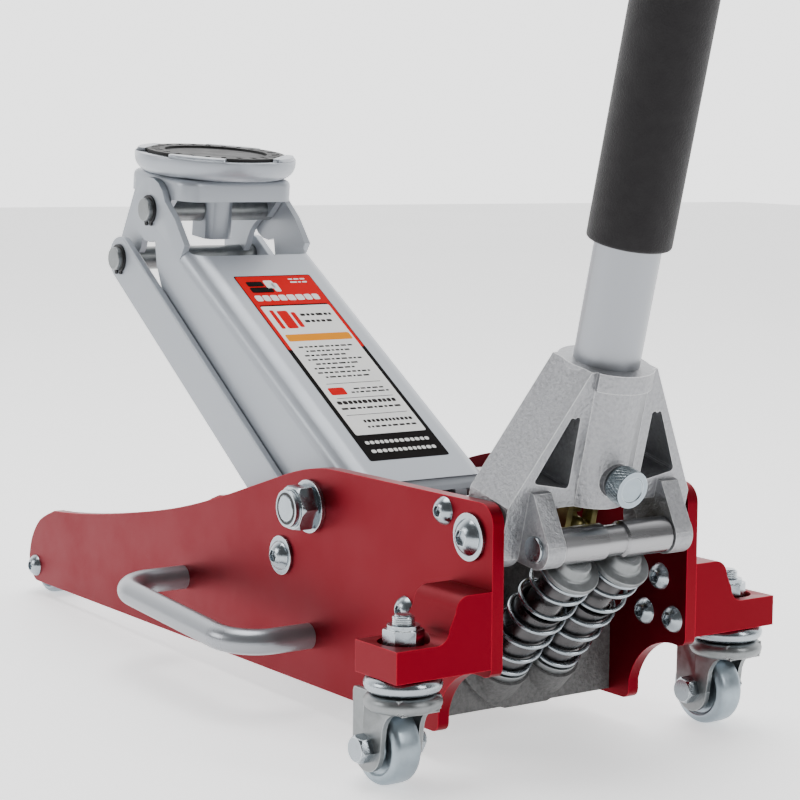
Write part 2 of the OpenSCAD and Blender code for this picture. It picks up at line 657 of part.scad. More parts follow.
module plunger(side) in_pump(side) translate([0, 0, 4]) cylinder(d = plunger_d, h = cap_top - cap_t - 4);
module plunger_left() color(dark) place() plunger(-1);
module plunger_right() color(dark) place() plunger(1);
module spring_cap(side) in_pump(side) translate([0, 0, cap_top - cap_t]) rotate_extrude()
    polygon([[0, 0], [15, 0], [15, cap_t], [10.5, cap_t + 0.4], [9.5, 3.6], [8, cap_t + boss_h - 0.6],
        [7.4, cap_t + boss_h], [0, cap_t + boss_h]]);
module spring_cap_left() color(zinc) place() spring_cap(-1);
module spring_cap_right() color(zinc) place() spring_cap(1);
spring_r = (spring_od - spring_wire) / 2;
module pump_spring(side) in_pump(side) coil(spring_wire, spring_r, 2.9, cap_top - cap_t - 1.3, coils, 20, 8);
module pump_spring_left() color(zinc) place() pump_spring(-1);
module pump_spring_right() color(zinc) place() pump_spring(1);

// ---- casters ----

race_r = 18.5;
race_t = 8;
module race(z) translate([swivel_x, swivel_y, z]) rotate_extrude() {
    square([race_r - race_t / 2, race_t]);
    translate([race_r - race_t / 2, race_t / 2]) circle(r = race_t / 2);
}
module caster_stems() color(zinc) place() both() {
    race(bracket_low - race_t);
    translate([swivel_x, swivel_y, fork_top - race_t]) cylinder(d = 10, h = 43);
    translate([swivel_x, swivel_y, fork_top - race_t + 42.9]) cylinder(r1 = 5, r2 = 3.8, h = 1.4);
}
module caster_nuts() color(zinc) place() both() translate([swivel_x, swivel_y, bracket_tongue - 3])
    difference() {
        union() {
            intersection() {
                hexagon(17, 9);
                cylinder(r1 = 13, r2 = 8.3, h = 12);
            }
            cylinder(d = 15.5, h = 11);
        }
        translate([0, 0, -eps]) cylinder(d = 10, h = 20);
    }
fork_top = bracket_low - race_t - 0.4;
fork_in = 9.4;
fork_t = 2.6;
wheel_w = 15.4;
fork_outline = concat([[-41.2, 20], [-41, 44], [-40, 46], [-4, 46]], arc([-4, 26], 13.5, 90, 180, 6),
    [[-18.6, 19]]);
module caster_fork() difference() {
    union() {
        race(fork_top - race_t);
        translate([0, swivel_y, 0]) both() slab(fork_in, fork_in + fork_t) {
            polygon(fork_outline);
            translate([caster_x, caster_r]) circle(r = 11.4);
        }
        translate([-40, swivel_y - fork_in - eps, fork_top - race_t]) cube([37, 2 * fork_in + 2, 4]);
    }
    translate([swivel_x, swivel_y, 20]) cylinder(d = 10 + 2 * fit, h = 40);
    bar([caster_x, caster_r], axle_d, swivel_y - 20, swivel_y + 20);
}
module caster_fork_left() color(zinc) place() scale_side(-1) caster_fork();
module caster_fork_right() color(zinc) place() caster_fork();
axle_face = fork_in + fork_t;
module caster_axle() translate([caster_x, swivel_y, caster_r]) rotate([-90, 0, 0]) {
    translate([0, 0, -axle_face]) cylinder(d = axle_d, h = 2 * axle_face + 8);
    translate([0, 0, axle_face]) intersection() {
        hexagon(12, 6);
        cylinder(r1 = 10, r2 = 5.8, h = 9);
    }
    translate([0, 0, -axle_face - 6.4]) intersection() {
        rotate([0, 0, 12]) hexagon(12, 6.4);
        translate([0, 0, -1]) cylinder(r1 = 5, r2 = 12, h = 9);
    }
}
module caster_axle_left() color(zinc) place() translate([0, -2 * swivel_y, 0]) caster_axle();
module caster_axle_right() color(zinc) place() caster_axle();
module caster_wheel() disc_wheel([caster_x, caster_r], swivel_y - wheel_w / 2, wheel_w, caster_r,
    axle_d / 2 + fit, 13.2, 7.5, 1.4);
module caster_wheel_left() color(zinc) place() scale_side(-1) caster_wheel();
module caster_wheel_right() color(zinc) place() caster_wheel();

side_plate_left();
side_plate_right();
caster_bracket_left();
caster_bracket_right();
carry_handle_left();
carry_handle_right();
front_axle();
front_wheel_left();
front_wheel_right();
frame_screws();
cross_rod();
pivot_washers();
arm_shaft();
arm_nuts();
link_shoulder_screws();
yoke_pivot_screws();
power_unit();
ram_cylinder();
reservoir_tube();
filler_plug();
pump_barrels();
spring_seats();
lift_arm();
arm_pivot_tube();
ram_lugs();
ram_pin();
saddle_pin();
saddle_pin_clips();
level_link_left();
level_link_right();
link_pin();
link_pin_clips();
saddle_bracket();
saddle();
saddle_pad();
ram();
return_springs();
handle_yoke();
roller_pin();
pump_roller();
thumb_screw();
handle_tube();
foam_sleeve();
handle_grip();
release_fork();
release_shaft();
plunger_left();
plunger_right();
spring_cap_left();
spring_cap_right();
pump_spring_left();
pump_spring_right();
caster_stems();
caster_nuts();
caster_fork_left();
caster_fork_right();
caster_axle_left();
caster_axle_right();
caster_wheel_left();
caster_wheel_right();
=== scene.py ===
"""Looks for the hydraulic floor jack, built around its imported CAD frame. Metres, row frame."""
import json
import math

import bmesh
import bpy
from mathutils import Matrix, Quaternion, Vector


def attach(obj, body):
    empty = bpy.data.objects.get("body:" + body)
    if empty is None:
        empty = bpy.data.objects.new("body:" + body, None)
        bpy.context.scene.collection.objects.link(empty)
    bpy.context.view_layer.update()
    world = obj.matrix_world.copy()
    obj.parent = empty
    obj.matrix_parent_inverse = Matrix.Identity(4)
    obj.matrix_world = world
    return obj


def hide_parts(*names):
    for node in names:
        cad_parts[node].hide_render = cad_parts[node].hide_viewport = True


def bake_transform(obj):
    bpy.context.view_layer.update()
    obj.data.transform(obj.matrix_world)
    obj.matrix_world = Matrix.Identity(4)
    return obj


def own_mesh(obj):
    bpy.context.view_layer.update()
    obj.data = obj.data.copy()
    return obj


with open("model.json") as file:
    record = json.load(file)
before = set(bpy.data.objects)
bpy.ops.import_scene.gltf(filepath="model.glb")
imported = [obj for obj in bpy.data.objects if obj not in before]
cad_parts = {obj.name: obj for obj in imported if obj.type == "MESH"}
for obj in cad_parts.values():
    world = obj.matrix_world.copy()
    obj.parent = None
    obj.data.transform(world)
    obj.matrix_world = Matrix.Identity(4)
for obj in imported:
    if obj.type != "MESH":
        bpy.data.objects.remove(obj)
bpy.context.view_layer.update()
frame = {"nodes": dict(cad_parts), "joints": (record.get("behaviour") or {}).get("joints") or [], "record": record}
MM = 0.001

# ---- where things are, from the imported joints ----

JOINTS = {j["name"]: j for j in frame["joints"]}


def place_of(joint):
    return Vector(JOINTS[joint]["pos_m"])


def axis_of(joint):
    return Vector(JOINTS[joint]["axis"]).normalized()


def lean_of(direction):
    """Turn about +Y that carries +Z onto a direction in the XZ plane."""
    return math.atan2(direction.x, direction.z)


def turned(origin, lean):
    return Matrix.Translation(origin) @ Matrix.Rotation(lean, 4, "Y")


# places in the chassis, in the millimetres of its own upright frame
ARM_PIVOT_MM = (-155.2, 0, 110.7)
ARM_NUT_FACE = 79.15
RAM_PIN_MM = (-164.0, 73.7)
RETURN_SPRING_OUT = 33
SEAT_MM = (-53.8, 15.7, 45.3)
STEM_MM = (-17.5, 101.5)
# heights of the arm's sloping top over its pivot, of the caps over the pump's seat, and of the
# thumb screw over the yoke's pivot
ARM_TOP_HEIGHT, ARM_TOP_SLOPE = 16.8, 0.045
CAP_SEAT = 72.2
THUMB_HEIGHT = 31.5

CHASSIS_LEAN = lean_of(axis_of("caster_swivel_left"))
CHASSIS = turned((0, 0, 0), CHASSIS_LEAN)
CHASSIS = Matrix.Translation(place_of("arm_lift") - CHASSIS @ (Vector(ARM_PIVOT_MM) * MM)) @ CHASSIS
HANDLE = turned(place_of("handle_pump"), lean_of(axis_of("handle_twist")))
ARM_LINE = place_of("saddle_level") - place_of("arm_lift")
ARM_ANGLE = math.atan2(ARM_LINE.z, -ARM_LINE.x)
ARM = turned(place_of("arm_lift"), ARM_ANGLE)
ARM_TOP = (ARM @ Matrix.Rotation(-math.atan(ARM_TOP_SLOPE), 4, "Y")
           @ Matrix.Translation((0, 0, ARM_TOP_HEIGHT * MM)))
HEAD_UP = Vector(frame["record"]["mounts"][0]["axis"])
HEAD = turned(place_of("saddle_level"), lean_of(HEAD_UP))
PUMP_LEAN = lean_of(-axis_of("plunger_slide_left"))
SIDES = {"left": -1, "right": 1}


def chassis(x, y, z):
    return CHASSIS @ (Vector((x, y, z)) * MM)


def pump_frame(side):
    return turned(chassis(SEAT_MM[0], SIDES[side] * SEAT_MM[1], SEAT_MM[2]), PUMP_LEAN)


# ---- camera, light and floor ----

CAMERA_PLACE = (0.9167, -0.6622, 0.3054)
CAMERA_HEADING = math.radians(35.116)
CAMERA_PITCH = math.radians(7.252)
CAMERA_ROLL = math.radians(1.019)
CAMERA_LENS = 97.0


def make_camera():
    data = bpy.data.cameras.new("camera")
    data.lens = CAMERA_LENS
    data.sensor_width = 36
    data.clip_end = 50
    camera = bpy.data.objects.new("camera", data)
    bpy.context.scene.collection.objects.link(camera)
    level = math.cos(CAMERA_PITCH)
    forward = Vector((-math.cos(CAMERA_HEADING) * level, math.sin(CAMERA_HEADING) * level,
                      -math.sin(CAMERA_PITCH)))
    camera.location = CAMERA_PLACE
    camera.rotation_mode = "QUATERNION"
    camera.rotation_quaternion = (forward.to_track_quat("-Z", "Y")
                                  @ Quaternion((0, 0, 1), CAMERA_ROLL))
    bpy.context.scene.camera = camera


def area_light(name, place, target, width, height, power):
    data = bpy.data.lights.new(name, "AREA")
    data.shape = "RECTANGLE"
    data.size = width
    data.size_y = height
    data.energy = power
    light = bpy.data.objects.new(name, data)
    light.location = place
    direction = Vector(target) - Vector(place)
    light.rotation_mode = "QUATERNION"
    light.rotation_quaternion = direction.to_track_quat("-Z", "Y")
    bpy.context.scene.collection.objects.link(light)


# brightness of the room behind the camera, of the backdrop, and of the floor's own glow
WORLD_ROOM = 0.16
WORLD_BACKDROP = 2.6
FLOOR_GLOW = 0.85
FLOOR_SIZE = 6
LIGHT_TARGET = (-0.1, 0, 0.2)


def make_world():
    """A pale backdrop on the saddle side and a dimmer room on the handle side."""
    world = bpy.data.worlds.new("studio")
    bpy.context.scene.world = world
    world.use_nodes = True
    tree = world.node_tree
    where = tree.nodes.new("ShaderNodeTexCoord")
    dot = tree.nodes.new("ShaderNodeVectorMath")
    dot.operation = "DOT_PRODUCT"
    dot.inputs[1].default_value = (-0.8, 0.6, 0.0)
    tree.links.new(where.outputs["Generated"], dot.inputs[0])
    level = tree.nodes.new("ShaderNodeMapRange")
    level.interpolation_type = "SMOOTHSTEP"
    level.inputs["From Min"].default_value = -0.1
    level.inputs["From Max"].default_value = 0.75
    level.inputs["To Min"].default_value = WORLD_ROOM
    level.inputs["To Max"].default_value = WORLD_BACKDROP
    tree.links.new(dot.outputs["Value"], level.inputs["Value"])
    background = tree.nodes["Background"]
    background.inputs["Color"].default_value = (1, 1, 1, 1)
    tree.links.new(level.outputs["Result"], background.inputs["Strength"])


def make_studio():
    make_world()
    area_light("overhead", (-0.3, -0.1, 2.2), LIGHT_TARGET, 1.6, 1.2, 34)
    area_light("left_side", (-0.9, -2.2, 1.0), LIGHT_TARGET, 1.2, 1.0, 20)
    area_light("rear_right", (2.0, 0.7, 1.2), (0, 0, 0.2), 0.4, 1.2, 14)
    bm = bmesh.new()
    bmesh.ops.create_grid(bm, x_segments=8, y_segments=8, size=FLOOR_SIZE)
    floor = finish_mesh(bm, "floor", smooth=False)
    floor.data.materials.append(plain_floor())


# ---- mesh helpers ----

def finish_mesh(bm, name, smooth=True, angle=35):
    mesh = bpy.data.meshes.new(name)
    bmesh.ops.recalc_face_normals(bm, faces=bm.faces)
    bm.to_mesh(mesh)
    bm.free()
    piece = bpy.data.objects.new(name, mesh)
    bpy.context.scene.collection.objects.link(piece)
    if smooth:
        mesh.shade_smooth()
        mesh.set_sharp_from_angle(angle=math.radians(angle))
    return piece


def dress(piece, body, material, slot, *nodes):
    """Gives a finished piece its material and body, and hides the CAD nodes it stands for."""
    piece.data.materials.clear()
    piece.data.materials.append(material)
    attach(piece, body)
    if nodes:
        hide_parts(*nodes)
    return piece


def lathe(profile, matrix, name, steps=96, closed=True):
    """Turns a profile of (radius, height) in millimetres about the local z axis."""
    bm = bmesh.new()
    rings = []
    for radius, height in profile:
        ring = []
        for i in range(steps):
            a = 2 * math.pi * i / steps
            ring.append(bm.verts.new(matrix @ (Vector((radius * math.cos(a), radius * math.sin(a),
                                                       height)) * MM)))
        rings.append(ring)
    pairs = list(zip(rings, rings[1:] + rings[:1])) if closed else list(zip(rings, rings[1:]))
    for low, high in pairs:
        for i in range(steps):
            j = (i + 1) % steps
            bm.faces.new((low[i], low[j], high[j], high[i]))
    if not closed:
        bm.faces.new(list(reversed(rings[0])))
        bm.faces.new(rings[-1])
    return finish_mesh(bm, name)


def round_corner(cx, cz, r, a0, a1, n=5):
    return [(cx + r * math.cos(math.radians(a0 + (a1 - a0) * i / n)),
             cz + r * math.sin(math.radians(a0 + (a1 - a0) * i / n))) for i in range(n + 1)]


def swept(points, radius, name, sides=12):
    """A round wire along points, in metres, closed at both ends."""
    bm = bmesh.new()
    rings = []
    across = None
    for i, p in enumerate(points):
        ahead = points[min(i + 1, len(points) - 1)] - points[max(i - 1, 0)]
        ahead.normalize()
        if across is None:
            across = ahead.orthogonal().normalized()
        across = (across - ahead * across.dot(ahead)).normalized()
        other = ahead.cross(across)
        rings.append([bm.verts.new(p + radius * (math.cos(a) * across + math.sin(a) * other))
                      for a in (2 * math.pi * k / sides for k in range(sides))])
    for low, high in zip(rings, rings[1:]):
        for k in range(sides):
            m = (k + 1) % sides
            bm.faces.new((low[k], low[m], high[m], high[k]))
    bm.faces.new(list(reversed(rings[0])))
    bm.faces.new(rings[-1])
    return finish_mesh(bm, name)


def softened(node, width, segments=2, angle=28):
    """A copy of a CAD node with its flat faces merged and its sharp edges rounded over."""
    source = frame["nodes"][node]
    bm = bmesh.new()
    bm.from_mesh(source.data)
    bmesh.ops.remove_doubles(bm, verts=bm.verts, dist=2e-6)
    bmesh.ops.dissolve_limit(bm, angle_limit=math.radians(0.4), verts=bm.verts, edges=bm.edges)
    if node in BIG_ROUNDINGS:
        matrix, offset, wanted = BIG_ROUNDINGS[node]
        inverse = matrix.inverted()
        edges = [e for e in bm.edges if len(e.link_faces) == 2
                 and e.calc_face_angle(0) > math.radians(50)
                 and all(wanted(*(inverse @ v.co / MM)) for v in e.verts)]
        bmesh.ops.bevel(bm, geom=edges, offset=offset * MM, segments=5, profile=0.5,
                        affect="EDGES", clamp_overlap=True)
    piece = finish_mesh(bm, node + "_skin")
    piece.data.materials.clear()
    bevel = piece.modifiers.new("bevel", "BEVEL")
    bevel.limit_method = "ANGLE"
    bevel.angle_limit = math.radians(angle)
    bevel.width = width * MM
    bevel.segments = segments
    bevel.use_clamp_overlap = True
    bevel.harden_normals = True
    bpy.context.view_layer.objects.active = piece
    bpy.context.view_layer.update()
    depsgraph = bpy.context.evaluated_depsgraph_get()
    rounded = bpy.data.meshes.new_from_object(piece.evaluated_get(depsgraph))
    piece.modifiers.clear()
    piece.data = rounded
    return piece


# ---- materials ----

def srgb(r, g, b):
    def linear(c):
        c /= 255
        return c / 12.92 if c <= 0.04045 else ((c + 0.055) / 1.055) ** 2.4
    return (linear(r), linear(g), linear(b), 1)


def scaled(colour, k):
    return tuple(min(c * k, 1) for c in colour[:3]) + (1,)


def surface(name, colour, metallic=0.0, rough=0.45, rough_spread=0.08, mottle=0.06,
            mottle_size=30, grain=0.15, grain_size=0.5, grain_depth=0.05, edge=None,
            edge_width=0.6, coat=0.0, sheen=0.0, specular=0.5, stretch=(1, 1, 1)):
    """A node material: cloudy colour, fine bumpy grain, uneven gloss and, if asked, bright edges.
    Sizes are in millimetres."""
    material = bpy.data.materials.new(name)
    material.use_nodes = True
    tree = material.node_tree
    shader = tree.nodes["Principled BSDF"]
    shader.inputs["Metallic"].default_value = metallic
    shader.inputs["Coat Weight"].default_value = coat
    shader.inputs["Coat Roughness"].default_value = 0.15
    shader.inputs["Sheen Weight"].default_value = sheen
    shader.inputs["Specular IOR Level"].default_value = specular

    def node(kind, **values):
        made = tree.nodes.new(kind)
        for key, value in values.items():
            made.inputs[key.replace("_", " ")].default_value = value
        return made

    coordinates = tree.nodes.new("ShaderNodeTexCoord")
    mapping = tree.nodes.new("ShaderNodeMapping")
    mapping.inputs["Scale"].default_value = stretch
    tree.links.new(coordinates.outputs["Object"], mapping.inputs["Vector"])
    clouds = node("ShaderNodeTexNoise", Scale=1000 / mottle_size, Detail=4.0, Roughness=0.6)
    fine = node("ShaderNodeTexNoise", Scale=1000 / grain_size, Detail=3.0, Roughness=0.6)
    for texture in (clouds, fine):
        tree.links.new(mapping.outputs["Vector"], texture.inputs["Vector"])

    colours = tree.nodes.new("ShaderNodeValToRGB")
    colours.color_ramp.elements[0].position = 0.3
    colours.color_ramp.elements[0].color = scaled(colour, 1 - mottle)
    colours.color_ramp.elements[1].position = 0.7
    colours.color_ramp.elements[1].color = scaled(colour, 1 + mottle)
    tree.links.new(clouds.outputs["Fac"], colours.inputs["Fac"])
    result = colours.outputs["Color"]
    if edge is not None:
        bevel = tree.nodes.new("ShaderNodeBevel")
        bevel.samples = 4
        bevel.inputs["Radius"].default_value = edge_width * MM
        geometry = tree.nodes.new("ShaderNodeNewGeometry")
        dot = tree.nodes.new("ShaderNodeVectorMath")
        dot.operation = "DOT_PRODUCT"
        tree.links.new(bevel.outputs["Normal"], dot.inputs[0])
        tree.links.new(geometry.outputs["Normal"], dot.inputs[1])
        worn = node("ShaderNodeMapRange", From_Min=0.995, From_Max=0.94, To_Min=0.0, To_Max=0.75)
        tree.links.new(dot.outputs["Value"], worn.inputs["Value"])
        mixed = tree.nodes.new("ShaderNodeMix")
        mixed.data_type = "RGBA"
        mixed_in = [s for s in mixed.inputs if s.type == "RGBA"]
        mixed_in[1].default_value = edge
        tree.links.new(worn.outputs["Result"], mixed.inputs["Factor"])
        tree.links.new(result, mixed_in[0])
        result = [s for s in mixed.outputs if s.type == "RGBA"][0]
    tree.links.new(result, shader.inputs["Base Color"])

    gloss = node("ShaderNodeMapRange", From_Min=0.3, From_Max=0.7, To_Min=rough - rough_spread,
                 To_Max=rough + rough_spread)
    tree.links.new(clouds.outputs["Fac"], gloss.inputs["Value"])
    tree.links.new(gloss.outputs["Result"], shader.inputs["Roughness"])
    bump = node("ShaderNodeBump", Strength=grain, Distance=grain_depth * MM)
    tree.links.new(fine.outputs["Fac"], bump.inputs["Height"])
    tree.links.new(bump.outputs["Normal"], shader.inputs["Normal"])
    return material


def plain_floor():
    """A matt white table that is faintly lit from below."""
    floor = surface("studio_floor", srgb(250, 250, 250), rough=0.7, mottle=0.01, mottle_size=400,
                    grain=0.02, grain_size=8)
    shader = floor.node_tree.nodes["Principled BSDF"]
    shader.inputs["Emission Color"].default_value = (1, 1, 1, 1)
    shader.inputs["Emission Strength"].default_value = FLOOR_GLOW
    return floor


RED = surface("red_anodised", srgb(112, 0, 20), metallic=0.92, rough=0.42, mottle=0.06,
              mottle_size=45, grain=0.25, grain_size=0.35, edge=srgb(190, 20, 50), specular=0.3)
SILVER = surface("silver_enamel", srgb(158, 163, 170), metallic=0.45, rough=0.38, mottle=0.03,
                 mottle_size=60, grain=0.3, grain_size=0.9, grain_depth=0.06, coat=0.2)
CASTING = surface("cast_aluminium", srgb(150, 151, 154), metallic=0.85, rough=0.42, mottle=0.17,
                  mottle_size=1.8, grain=1.0, grain_size=2.2, grain_depth=0.6,
                  edge=srgb(228, 228, 228))
IRON = surface("sand_casting", srgb(92, 92, 92), metallic=0.4, rough=0.62, mottle=0.35,
               mottle_size=2.2, grain=1.0, grain_size=1.9, grain_depth=0.6)
ZINC = surface("zinc_plate", srgb(158, 166, 172), metallic=1.0, rough=0.24, mottle=0.08,
               mottle_size=7, grain=0.2, grain_size=1.2, edge=srgb(232, 238, 240))
STEEL = surface("ground_steel", srgb(150, 150, 152), metallic=1.0, rough=0.28, mottle=0.06,
                mottle_size=12, grain=0.3, grain_size=0.6, stretch=(1, 0.05, 1))
DARK_STEEL = surface("dark_steel", srgb(92, 91, 92), metallic=1.0, rough=0.3, mottle=0.15,
                     mottle_size=10, grain=0.25, grain_size=0.8)
BLACK_OXIDE = surface("black_oxide", srgb(42, 42, 44), metallic=0.7, rough=0.42, mottle=0.12,
                      mottle_size=8, grain=0.3, grain_size=0.6)
YELLOW_ZINC = surface("yellow_zinc", srgb(150, 140, 92), metallic=0.9, rough=0.36, mottle=0.3,
                      mottle_size=6, grain=0.3, grain_size=0.8)
TUBE = surface("anodised_tube", srgb(150, 153, 158), metallic=0.7, rough=0.33, mottle=0.02,
               mottle_size=80, grain=0.3, grain_size=0.5, stretch=(1, 1, 0.06))
RUBBER = surface("moulded_rubber", srgb(26, 25, 26), rough=0.6, mottle=0.12, mottle_size=12,
                 grain=0.4, grain_size=0.8, grain_depth=0.1)
FOAM = surface("closed_cell_foam", srgb(24, 22, 24), rough=0.82, mottle=0.12, mottle_size=7,
               grain=0.9, grain_size=1.0, grain_depth=0.3, sheen=0.15, specular=0.3)
DULL_ZINC = surface("dull_zinc", srgb(132, 135, 136), metallic=0.95, rough=0.4, mottle=0.14,
                    mottle_size=5, grain=0.35, grain_size=1.2, edge=srgb(196, 200, 200))
WHEEL_ZINC = surface("wheel_zinc", srgb(150, 162, 170), metallic=0.95, rough=0.36, mottle=0.1,
                     mottle_size=8, grain=0.25, grain_size=1.2, edge=srgb(205, 214, 218))
SLOT_OF = {RED: "red_paint", SILVER: "silver_paint", CASTING: "cast_aluminium", IRON: "cast_iron",
           ZINC: "zinc_plate", STEEL: "polished_steel", DARK_STEEL: "dark_steel",
           BLACK_OXIDE: "black_oxide", YELLOW_ZINC: "yellow_zinc", TUBE: "handle_silver",
           RUBBER: "black_rubber", FOAM: "black_foam"}
MATERIAL_OF_SLOT = {slot: material for material, slot in SLOT_OF.items()}
FINISH_OF_NODE = {"spring_cap_left": DULL_ZINC, "spring_cap_right": DULL_ZINC,
                  "spring_seats": DULL_ZINC, "caster_fork_left": DULL_ZINC,
                  "caster_fork_right": DULL_ZINC, "caster_wheel_left": WHEEL_ZINC,
                  "caster_wheel_right": WHEEL_ZINC, "front_wheel_left": WHEEL_ZINC,
                  "front_wheel_right": WHEEL_ZINC, "thumb_screw": WHEEL_ZINC,
                  "saddle_pin": DULL_ZINC, "link_pin": DULL_ZINC}
BODY_OF = {n: b for b, ns in frame["record"]["behaviour"]["bodies"].items() for n in ns}
SLOT_OF_NODE = {s["node"]: s["material_slot"] for s in frame["record"]["subparts"]}

# ---- CAD nodes: every one gets its material, and most get rounded edges ----

# (frame, rounding in mm, which corners in that frame's millimetres) for pressed and cast edges
BIG_ROUNDINGS = {
    "saddle_bracket": (HEAD, 3.5, lambda x, y, z: z > 21.0 and x * x + y * y > 20 * 20),
    "lift_arm": (ARM, 2.6, lambda x, y, z: abs(y) > 43.3 and x < -210 and z > -4),
    "saddle": (HEAD, 1.4, lambda x, y, z: z > 33.1 and x * x + y * y > 44 * 44),
}

ROUNDED = {"side_plate_left": 0.8, "side_plate_right": 0.8, "caster_bracket_left": 0.7,
           "caster_bracket_right": 0.7, "handle_yoke": 1.1, "lift_arm": 0.9, "ram_lugs": 0.6,
           "level_link_left": 0.9, "level_link_right": 0.9, "saddle_bracket": 1.2, "saddle": 0.8,
           "saddle_pad": 0.35, "power_unit": 1.4, "release_fork": 0.6, "release_shaft": 0.6,
           "arm_nuts": 0.3, "caster_nuts": 0.3, "caster_axle_left": 0.3, "caster_axle_right": 0.3,
           "caster_fork_left": 0.7, "caster_fork_right": 0.7, "pivot_washers": 0.3,
           "link_shoulder_screws": 0.25, "yoke_pivot_screws": 0.25, "frame_screws": 0.25,
           "roller_pin": 0.6, "arm_shaft": 0.8, "saddle_pin": 0.8, "link_pin": 0.8, "ram": 0.6,
           "pump_barrels": 0.5, "spring_seats": 0.5, "handle_grip": 0.8, "filler_plug": 0.5,
           "spring_cap_left": 0.4, "spring_cap_right": 0.4, "caster_wheel_left": 0.5,
           "caster_wheel_right": 0.5, "front_wheel_left": 0.5, "front_wheel_right": 0.5,
           "reservoir_tube": 1.0, "ram_cylinder": 0.8, "cross_rod": 0.4, "front_axle": 0.4}


def dress_cad_nodes():
    """Gives each CAD node its material, and a rounded copy where it has an entry in ROUNDED."""
    for name, cad in frame["nodes"].items():
        material = FINISH_OF_NODE.get(name, MATERIAL_OF_SLOT[SLOT_OF_NODE[name]])
        cad.data.materials.clear()
        cad.data.materials.append(material)
        if name in ROUNDED:
            dress(softened(name, ROUNDED[name]), BODY_OF[name], material, SLOT_OF_NODE[name], name)


# ---- handle ----

def make_handle():
    """The handle tube and its foam sleeve, turned about the handle's axis."""
    tube_low, tube_high, tube_r, wall = 22, 897, 16, 2
    tube = lathe(round_corner(tube_r - 0.8, tube_low + 0.8, 0.8, -90, 0, 3)
                 + [(tube_r, tube_high), (tube_r - wall, tube_high), (tube_r - wall, tube_low)],
                 HANDLE, "handle_tube_skin")
    dress(tube, "handle", TUBE, "handle_silver", "handle_tube")
    low, high, r, bore = 142, 582, 20.25, 16.02
    foam = lathe([(bore, low)] + round_corner(r - 1.8, low + 1.8, 1.8, -90, 0)
                 + [(r, low + (high - low) * i / 40) for i in range(1, 40)]
                 + round_corner(r - 1.8, high - 1.8, 1.8, 0, 90) + [(bore, high)],
                 HANDLE, "foam_sleeve_skin", steps=128)
    dress(foam, "handle", FOAM, "black_foam", "foam_sleeve")


# ---- springs ----

def coil_points(matrix, radius, low, high, turns, closed_turns, wire, per_turn=40):
    """A compression spring: closed turns at both ends and open ones between them."""
    points = []
    whole = turns + 2 * closed_turns
    steps = int(whole * per_turn)
    for i in range(steps + 1):
        turn = whole * i / steps
        if turn < closed_turns:
            z = low + wire * turn
        elif turn > whole - closed_turns:
            z = high - wire * (whole - turn)
        else:
            share = (turn - closed_turns) / turns
            z = low + wire * closed_turns + share * (high - low - 2 * wire * closed_turns)
        a = 2 * math.pi * turn + math.pi
        points.append(matrix @ (Vector((radius * math.cos(a), radius * math.sin(a), z)) * MM))
    return points


def make_pump_springs():
    """Springs round the pump barrels, fixed to the chassis at one length, so they do not shorten as the plungers
    go down.
    """
    wire, low, high, travel = 2.3, 1.5, CAP_SEAT, 21.1
    for side in SIDES:
        matrix = pump_frame(side)
        spring = swept(coil_points(matrix, 13.6, low + wire / 2, high - wire / 2, 5.4, 0.6, wire),
                       wire / 2 * MM, "pump_spring_" + side + "_skin")
        dress(spring, "chassis", ZINC, "zinc_plate", "pump_spring_" + side)
        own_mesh(spring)


def make_return_springs():
    """The springs that pull the ram home stretch between the ram and the chassis."""
    wire, radius, low, high, past = 1.6, 5.2, 7.2, 50.5, 8.7
    lean = Matrix.Rotation(math.radians(98), 3, "Y")
    for side, sign in SIDES.items():
        place = chassis(RAM_PIN_MM[0], RETURN_SPRING_OUT * sign, RAM_PIN_MM[1])
        matrix = Matrix.Translation(place) @ (CHASSIS.to_3x3() @ lean).to_4x4()
        spring = swept(coil_points(matrix, radius, low + wire / 2, high - wire / 2, 9, 0.5, wire, 24),
                       wire / 2 * MM, "return_spring_" + side, sides=8)
        spring.data.materials.append(ZINC)
        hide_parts("return_springs")
        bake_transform(spring)


def make_spring_caps():
    """Turned caps over the pump springs: a stepped washer with a tapered boss."""
    profile = [(0.01, 0), (14.6, 0), (15, 0.4), (15, 1.9), (14.6, 2.3), (12.4, 2.3), (12.2, 1.8),
               (11.4, 1.8), (11.2, 2.5), (9.9, 2.7), (9.5, 3.1), (9.2, 3.7), (8.3, 7.5), (8, 8.1),
               (7.4, 8.5), (5.4, 8.5), (5.1, 8.1), (0.01, 8.1)]
    for side in SIDES:
        cap = lathe(profile, pump_frame(side) @ Matrix.Translation((0, 0, CAP_SEAT * MM)),
                    "spring_cap_" + side + "_skin", steps=72, closed=False)
        dress(cap, "plunger_" + side, DULL_ZINC, "zinc_plate", "spring_cap_" + side)


# ---- arm label: plain bars in place of any print ----

def slab_piece(name, boxes, matrix, top, thick):
    """Thin plates (x0, x1, y0, y1) in millimetres, with clipped corners, on a plane."""
    bm = bmesh.new()
    for x0, x1, y0, y1 in boxes:
        r = min(1.2, abs(x1 - x0) / 3, abs(y1 - y0) / 3)
        outline = []
        for cx, cy, a0 in ((x1 - r, y1 - r, 0), (x0 + r, y1 - r, 90), (x0 + r, y0 + r, 180),
                           (x1 - r, y0 + r, 270)):
            for i in range(4):
                a = math.radians(a0 + 30 * i)
                outline.append((cx + r * math.cos(a), cy + r * math.sin(a)))
        low = [bm.verts.new(matrix @ (Vector((x, y, top - thick)) * MM)) for x, y in outline]
        high = [bm.verts.new(matrix @ (Vector((x, y, top)) * MM)) for x, y in outline]
        bm.faces.new(high)
        bm.faces.new(list(reversed(low)))
        for i in range(len(outline)):
            j = (i + 1) % len(outline)
            bm.faces.new((low[i], low[j], high[j], high[i]))
    return finish_mesh(bm, name, smooth=False)


